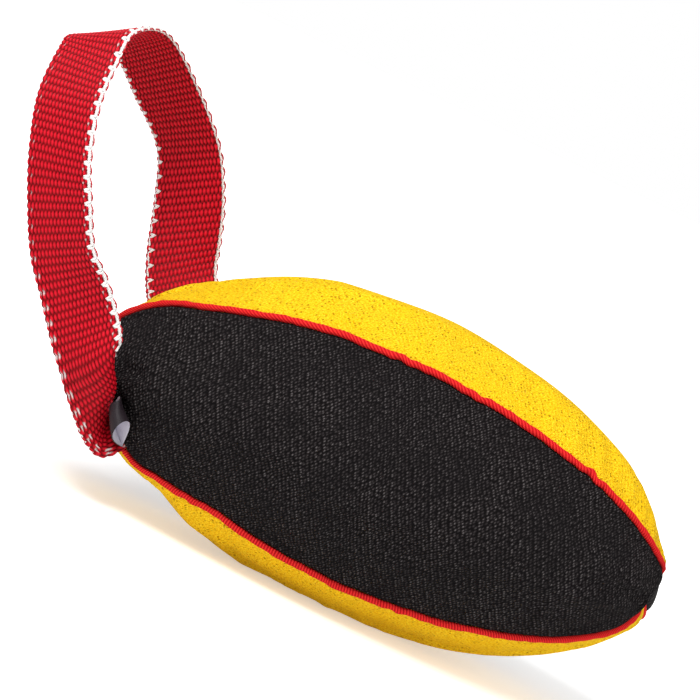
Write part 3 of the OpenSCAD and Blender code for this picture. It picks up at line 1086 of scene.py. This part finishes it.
def label_reach(start):
    """How far a point of the open end can go along the sweep before it meets the webbing."""
    ahead = start + LABEL_CLEAR * label_sweep
    limit = LABEL_LENGTH - LABEL_CLEAR
    hit, spot = strap.ray_cast(ahead.tolist(), label_sweep.tolist(), distance=limit)[:2]
    if not hit:
        return LABEL_LENGTH
    return LABEL_CLEAR + LABEL_BITE + float(np.linalg.norm(np.array(spot) - ahead))


bpy.context.view_layer.update()
lap = np.linspace(0, 1, LABEL_COLUMNS + 1)
lap_reach = np.array([label_reach(start) for start in label_outline(np.ones_like(lap), lap)])
lap_reach = np.clip(lap_reach, LABEL_SHORT, LABEL_LONG)
steps = range(-LABEL_SMOOTHING, LABEL_SMOOTHING + 1)
lap_reach = np.mean([np.roll(lap_reach[:-1], step) for step in steps], axis=0)
lap_reach = np.append(lap_reach, lap_reach[0])
print("label reach from", round(lap_reach.min() / MM, 1), "to", round(lap_reach.max() / MM, 1), "mm")


def label_place(u, v):
    along = (1 - u) * np.interp(v, lap, lap_reach)
    return label_outline(u, v) + along[:, None] * label_sweep


def label_cloth(u, v):
    return u * LABEL_LENGTH, v * LABEL_GIRTH


label = laid_grid("label_tape_loop", LABEL_ROWS, LABEL_COLUMNS, label_place, label_cloth)[0]
close_up(label)
for side in ("outside", "lining"):
    label.data.materials.append(None)
tape = label.modifiers.new("tape", "SOLIDIFY")
tape.thickness = LABEL_TAPE
tape.offset = -1
tape.material_offset = 1
apply_modifiers(label)
print("label faces", len(label.data.polygons))

# %% [markdown]
# ## Filling
# The filling can't be seen, but a cut or see-through view would show it, and its firm, slightly lumpy shape
# is what holds the cover out. It is one grid rolled round the long axis, a little inside the cloth.

# %% Filling
FILL_DEPTH = 3.1 * MM
FILL_GROOVE = 6 * MM
FILL_GROOVE_WIDTH = 4.5 * MM
FILL_LUMPS = 0.4 * MM
FILL_END = math.radians(9)
FILL_ROWS = 90
FILL_COLUMNS = 96


def filling_place(u, v):
    t = FILL_END + (math.pi - 2 * FILL_END) * u
    phi = 2 * math.pi * v
    near = np.min([np.abs(np.angle(np.exp(1j * (phi - seam)))) for seam in SEAM_PHASE], axis=0)
    groove = FILL_GROOVE * np.exp(-(near * HALF_DIAMETER * np.sin(t) / FILL_GROOVE_WIDTH) ** 4)
    lumps = FILL_LUMPS * np.sin(9 * phi + 17 * u) * np.sin(31 * u + 2 * np.sin(phi))
    points = skin(t, phi, 1.0 - np.clip(near / (DARK_SPAN / 2), 0, 1), FILL_DEPTH + groove + lumps)
    for tip in (u < 1e-6, u > 1 - 1e-6):
        points[tip] = points[tip].mean(0)
    return points


def filling_cloth(u, v):
    return u * 2 * HALF_LENGTH, v * 2 * math.pi * HALF_DIAMETER


filling = laid_grid("fibre_filling", FILL_ROWS, FILL_COLUMNS, filling_place, filling_cloth)[0]
close_up(filling)
print("filling faces", len(filling.data.polygons))

# %% [markdown]
# ## The coarse weave
# Two of the finishes are the same coarse weave in another colour, so the weave is a node group. It reads
# distances on the cloth, turned to the grain, and puts out only what varies over it: the height of the
# yarns, a spot on each stitch, a chance number for each stitch, the rows, a fine fuzz and a slow drift.
# Modelled yarn by yarn, the cloth would take millions of faces.

# %% Weave group
WEAVE_INPUTS = ("Pitch Along", "Pitch Across", "Unevenness", "Grain")
WEAVE_OUTPUTS = ("Height", "Spot", "Chance", "Wale", "Fuzz", "Drift")
FUZZ_PER_MM = (1.3, 2.4, 1.0)
DRIFT_PER_MM = 0.05

group = bpy.data.node_groups.new("coarse_weave", "ShaderNodeTree")
group.interface.new_socket("Cloth", in_out="INPUT", socket_type="NodeSocketVector")
for way, names in (("INPUT", WEAVE_INPUTS), ("OUTPUT", WEAVE_OUTPUTS)):
    for name in names:
        group.interface.new_socket(name, in_out=way, socket_type="NodeSocketFloat")
given = group.nodes.new("NodeGroupInput").outputs
turned = new_node(group, "VectorRotate", rotation_type="Z_AXIS")
set_inputs(group, turned, Vector=given["Cloth"], Angle=given["Grain"])
in_mm = stretched(group, turned.outputs[0], (1 / MM, 1 / MM, 1 / MM))
parts = new_node(group, "SeparateXYZ")
set_inputs(group, parts, Vector=in_mm)
count_along = math_node(group, "DIVIDE", parts.outputs["X"], given["Pitch Along"])
count_across = math_node(group, "DIVIDE", parts.outputs["Y"], given["Pitch Across"])
stitch = new_node(group, "CombineXYZ")
set_inputs(group, stitch, X=count_along, Y=math_node(group, "MULTIPLY_ADD", count_along, 0.5, count_across))
cells = pattern(
    group, "Voronoi", stitch.outputs[0], {"voronoi_dimensions": "2D"},
    Scale=1.0, Randomness=given["Unevenness"],
)
chance = new_node(group, "SeparateColor")
set_inputs(group, chance, Color=cells["Color"])
wale = math_node(group, "SINE", math_node(group, "MULTIPLY", count_along, math.pi))
set_inputs(
    group, group.nodes.new("NodeGroupOutput"),
    Height=map_range(group, cells["Distance"], 0.05, 0.6, 1.0, 0.0),
    Spot=map_range(group, cells["Distance"], 0.14, 0.32, 1.0, 0.0),
    Chance=chance.outputs[0],
    Wale=map_range(group, wale, -0.9, 0.9),
    Fuzz=pattern(group, "Noise", stretched(group, in_mm, FUZZ_PER_MM), Scale=1.0, Detail=3)["Fac"],
    Drift=pattern(group, "Noise", in_mm, Scale=DRIFT_PER_MM, Detail=2)["Fac"],
)
print("node group:", group.name)

# %% [markdown]
# ## Cloth finishes
# The dark cloth is nearly black. Where the yarns rise, the knuckles are painted lighter, a painted
# highlight for the light they catch, and the gaps between them are painted darker as painted shade. The
# bright cloth is a warm yellow with small pores, painted darker as painted shade. Both are matte. Cloth
# scatters the light, so their roughness is high and their shine is low.

# %% Dark and bright cloth
GRAIN = math.radians(26)
DARK_PITCHES = (1.3, 1.0)
DARK_UNEVENNESS = 0.5
# Painted highlight on the knuckles and painted shade in the gaps, picked by the yarn's height.
KNUCKLE_HIGHLIGHT_AND_SHADE = [
    (0.05, (0.003, 0.0022, 0.0024)), (0.35, (0.014, 0.0115, 0.012)),
    (0.62, (0.034, 0.029, 0.029)), (0.98, (0.125, 0.112, 0.112)),
]
FADED_BLACK = (0.006, 0.005, 0.0055)
BRIGHT_PITCHES = (1.5, 1.15)
BRIGHT_UNEVENNESS = 0.7
NAP = [(0.35, (0.68, 0.30, 0.0)), (0.47, (0.96, 0.55, 0.005)), (0.60, (1.0, 0.74, 0.03))]
# Painted shade in the small pores of the knit.
PORE_SHADE = (0.46, 0.20, 0.001)
WORN_YELLOW = (0.93, 0.52, 0.0)


def woven(tree, pitches, unevenness):
    weave = new_node(tree, "Group", node_tree=group)
    feed(tree, weave.inputs["Cloth"], cloth_uv(tree))
    for name, value in zip(WEAVE_INPUTS, (*pitches, unevenness, GRAIN)):
        feed(tree, weave.inputs[name], value)
    return weave.outputs


dark_cloth, tree, shader = new_material("dark_cloth")
weave = woven(tree, DARK_PITCHES, DARK_UNEVENNESS)
# lit follows the yarn's height, varied by stitch chance, rows and fuzz: high paints a highlight, low paints
# shade.
lit = math_node(tree, "MULTIPLY", weave["Height"], map_range(tree, weave["Chance"], 0, 1, 0.62, 1.15))
lit = math_node(tree, "MULTIPLY", lit, map_range(tree, weave["Wale"], 0, 1, 0.78, 1.06))
lit = math_node(tree, "ADD", lit, map_range(tree, weave["Fuzz"], 0.3, 0.7, -0.12, 0.12))
fading = map_range(tree, weave["Drift"], 0.35, 0.65, 0.0, 0.4)
set_inputs(
    tree, shader,
    Base_Color=mix_colours(tree, fading, colour_ramp(tree, lit, KNUCKLE_HIGHLIGHT_AND_SHADE), FADED_BLACK),
    Roughness=map_range(tree, weave["Fuzz"], 0.3, 0.7, 0.65, 0.9),
    Normal=bump(tree, lit, 0.6 * MM),
    Specular_IOR_Level=0.05,
)

bright_cloth, tree, shader = new_material("bright_cloth")
weave = woven(tree, BRIGHT_PITCHES, BRIGHT_UNEVENNESS)
nap = colour_ramp(tree, weave["Fuzz"], NAP)
# pores: the share of painted shade on a stitch, which also sinks the relief.
pores = math_node(tree, "MULTIPLY", weave["Spot"], map_range(tree, weave["Chance"], 0.55, 0.95, 0.0, 0.85))
wear = map_range(tree, weave["Drift"], 0.35, 0.7, 0.0, 0.25)
relief = math_node(tree, "MULTIPLY_ADD", weave["Height"], 0.4, weave["Fuzz"])
set_inputs(
    tree, shader,
    Base_Color=mix_colours(tree, wear, mix_colours(tree, pores, nap, PORE_SHADE), WORN_YELLOW),
    Roughness=map_range(tree, weave["Fuzz"], 0.3, 0.7, 0.95, 0.8),
    Normal=bump(tree, math_node(tree, "SUBTRACT", relief, pores), 0.7 * MM),
    Specular_IOR_Level=0.06,
)
print("cloth finishes:", dark_cloth.name, bright_cloth.name)

# %% [markdown]
# ## Red tape, webbing and yarn
# The ribs and beads are already in the meshes. The materials only paint shade into the hollows and a
# lighter red on the ridges and bead tops as painted highlight, and add the fine filaments of the yarn as a
# small bump.

# %% Red and white finishes
# The webbing's stops: painted shade in the hollows between beads, painted highlight on the bead tops.
WEBBING_SHADE_AND_HIGHLIGHT = [(0.12, (0.058, 0.0, 0.001)), (0.60, (0.26, 0.0, 0.004)), (0.98, (0.66, 0.007, 0.021))]
# The piping tape's stops: painted shade in the grooves, its red between, painted highlight on the ridges.
TAPE_SHADE_AND_HIGHLIGHT = [(0.05, (0.34, 0.001, 0.004)), (0.5, (0.58, 0.008, 0.010)), (0.95, (0.80, 0.034, 0.028))]
WHITE_STOPS = [(0.0, (0.62, 0.58, 0.56)), (0.6, (0.86, 0.85, 0.83)), (1.0, (0.92, 0.91, 0.89))]
PALE_STITCH = (0.72, 0.62, 0.60)
WEBBING_FILAMENTS = (900, 4500, 1)
TAPE_FILAMENTS = (2600, 2000, 1)


def yarn_finish(name, height_name, stops, rough, filaments, filament_height, pale_name=None):
    material, tree, shader = new_material(name)
    # The stored height picks the colour: low paints shade in the hollows, high paints a highlight.
    colour = colour_ramp(tree, stored(tree, height_name), stops)
    if pale_name:
        colour = mix_colours(tree, stored(tree, pale_name), colour, PALE_STITCH)
    strands = pattern(tree, "Noise", stretched(tree, cloth_uv(tree), filaments), Scale=1.0, Detail=2)["Fac"]
    set_inputs(
        tree, shader, Base_Color=colour, Roughness=rough, Specular_IOR_Level=0.1,
        Normal=bump(tree, strands, filament_height, 0.6),
    )
    return material


red_webbing = yarn_finish(
    "red_webbing", "weave", WEBBING_SHADE_AND_HIGHLIGHT, 0.5, WEBBING_FILAMENTS, 0.15 * MM, pale_name="pale",
)
red_tape = yarn_finish("red_tape", "rib", TAPE_SHADE_AND_HIGHLIGHT, 0.75, TAPE_FILAMENTS, 0.3 * MM)


def thread_finish(name, threads, stops, depth, strength, **settings):
    """A finish whose colour and relief both follow one pattern of threads."""
    material, tree, shader = new_material(name)
    value = threads(tree)["Fac"]
    colour = colour_ramp(tree, value, stops)
    set_inputs(tree, shader, Base_Color=colour, Normal=bump(tree, value, depth, strength), **settings)
    return material


def twist(tree):
    return pattern(tree, "Wave", cloth_uv(tree), {"bands_direction": "DIAGONAL"}, Scale=900, Distortion=1.5)


white_yarn = thread_finish("white_yarn", twist, WHITE_STOPS, 0.2 * MM, 0.7, Roughness=0.8, Sheen_Weight=0.2)
print("red and white finishes made")

# %% [markdown]
# ## Label, filling and cord
# The label is dark satin, whose fine cross threads give it a soft sheen. Its inside is painted pale, a
# painted sheen for the light the satin catches at a grazing angle inside the loop, where shade would fall.
# The filling is loose fibre and the cord in the piping is twisted cotton. Both stay out of sight.

# %% Label, filling and cord finishes
SATIN = {"Roughness": 0.5, "Anisotropic": 0.4, "Specular_IOR_Level": 0.24}
FIBRE = {"Roughness": 0.95, "Sheen_Weight": 0.3}
DARK_SATIN = [(0, (0.007, 0.004, 0.006)), (1, (0.020, 0.013, 0.017))]
# Painted sheen on the lining: a pale colour for the light the satin catches at a grazing angle, where shade
# would fall inside the loop.
LINING_PAINTED_SHEEN = [(0, (0.62, 0.60, 0.68)), (1, (0.74, 0.72, 0.80))]
LOOSE_STOPS = [(0.3, (0.62, 0.60, 0.55)), (0.7, (0.88, 0.86, 0.82))]
COTTON_STOPS = [(0.3, (0.55, 0.52, 0.45)), (0.7, (0.82, 0.79, 0.71))]


def satin(tree):
    return pattern(tree, "Wave", cloth_uv(tree), Scale=1100, Distortion=0.6)


def tufts(tree, scale):
    place = new_node(tree, "TexCoord").outputs["Object"]
    return pattern(tree, "Noise", place, Scale=scale, Detail=6, Distortion=1.2)


label_outside = thread_finish("label_satin", satin, DARK_SATIN, 0.05 * MM, 0.5, **SATIN)
label_inside = thread_finish("label_lining", satin, LINING_PAINTED_SHEEN, 0.05 * MM, 0.5, **SATIN)
loose_fibre = thread_finish("loose_fibre", lambda tree: tufts(tree, 140), LOOSE_STOPS, MM, 0.6, **FIBRE)
cotton_cord = thread_finish("cotton_cord", lambda tree: tufts(tree, 900), COTTON_STOPS, MM, 0.6, **FIBRE)
print("label, filling and cord finishes made")

# %% [markdown]
# ## Put it together
# Every piece gets its finish and stands for its CAD solids, which are hidden. The pieces of the bumper ride
# on the body that carries them. The webbing and its yarns cross the line that the handle swings about; they
# ride on no body, and their placement is baked into their points.

# %% Finishes and bodies
def dress(piece, material, slot, *stands_for):
    piece.data.materials.clear()
    piece.data.materials.append(material)
    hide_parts(*stands_for)


for side, (material, slot) in {
    "front": (dark_cloth, "black_fabric"), "back": (dark_cloth, "black_fabric"),
    "top": (bright_cloth, "yellow_fabric"), "bottom": (bright_cloth, "yellow_fabric"),
}.items():
    dress(gores[side], material, slot, side + "_panel")
    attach(gores[side], "bumper")
for seam, piece in pipings.items():
    dress(piece, red_tape, "red_piping", seam + "_piping")
    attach(piece, "bumper")
    dress(cords[seam], cotton_cord, "piping_cord", seam + "_cord")
    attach(cords[seam], "bumper")
dress(filling, loose_fibre, "fibre_filling", "stuffing")
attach(filling, "bumper")
label.data.materials[0] = label_outside
label.data.materials[1] = label_inside
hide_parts("label_loop")
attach(label, "bumper")

dress(strap, red_webbing, "red_webbing", "lower_strap_root", "upper_strap_root", "handle_strap")
dress(near_yarn, white_yarn, "white_yarn", "handle_near_edge")
dress(far_yarn, white_yarn, "white_yarn", "handle_far_edge")
for piece in (strap, near_yarn, far_yarn):
    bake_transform(piece)
print("pieces dressed and riding")

# %% [markdown]
# ## Sizes
# The cloth stands a little proud of the solids, so the dressed part's box is about a millimetre larger.
# Both boxes are written down to be compared.

# %% Compare the boxes
visual_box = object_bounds()
for name, box in (("CAD box", cad_box), ("visual box", visual_box)):
    print(name, [[round(x, 4) for x in c] for c in box])
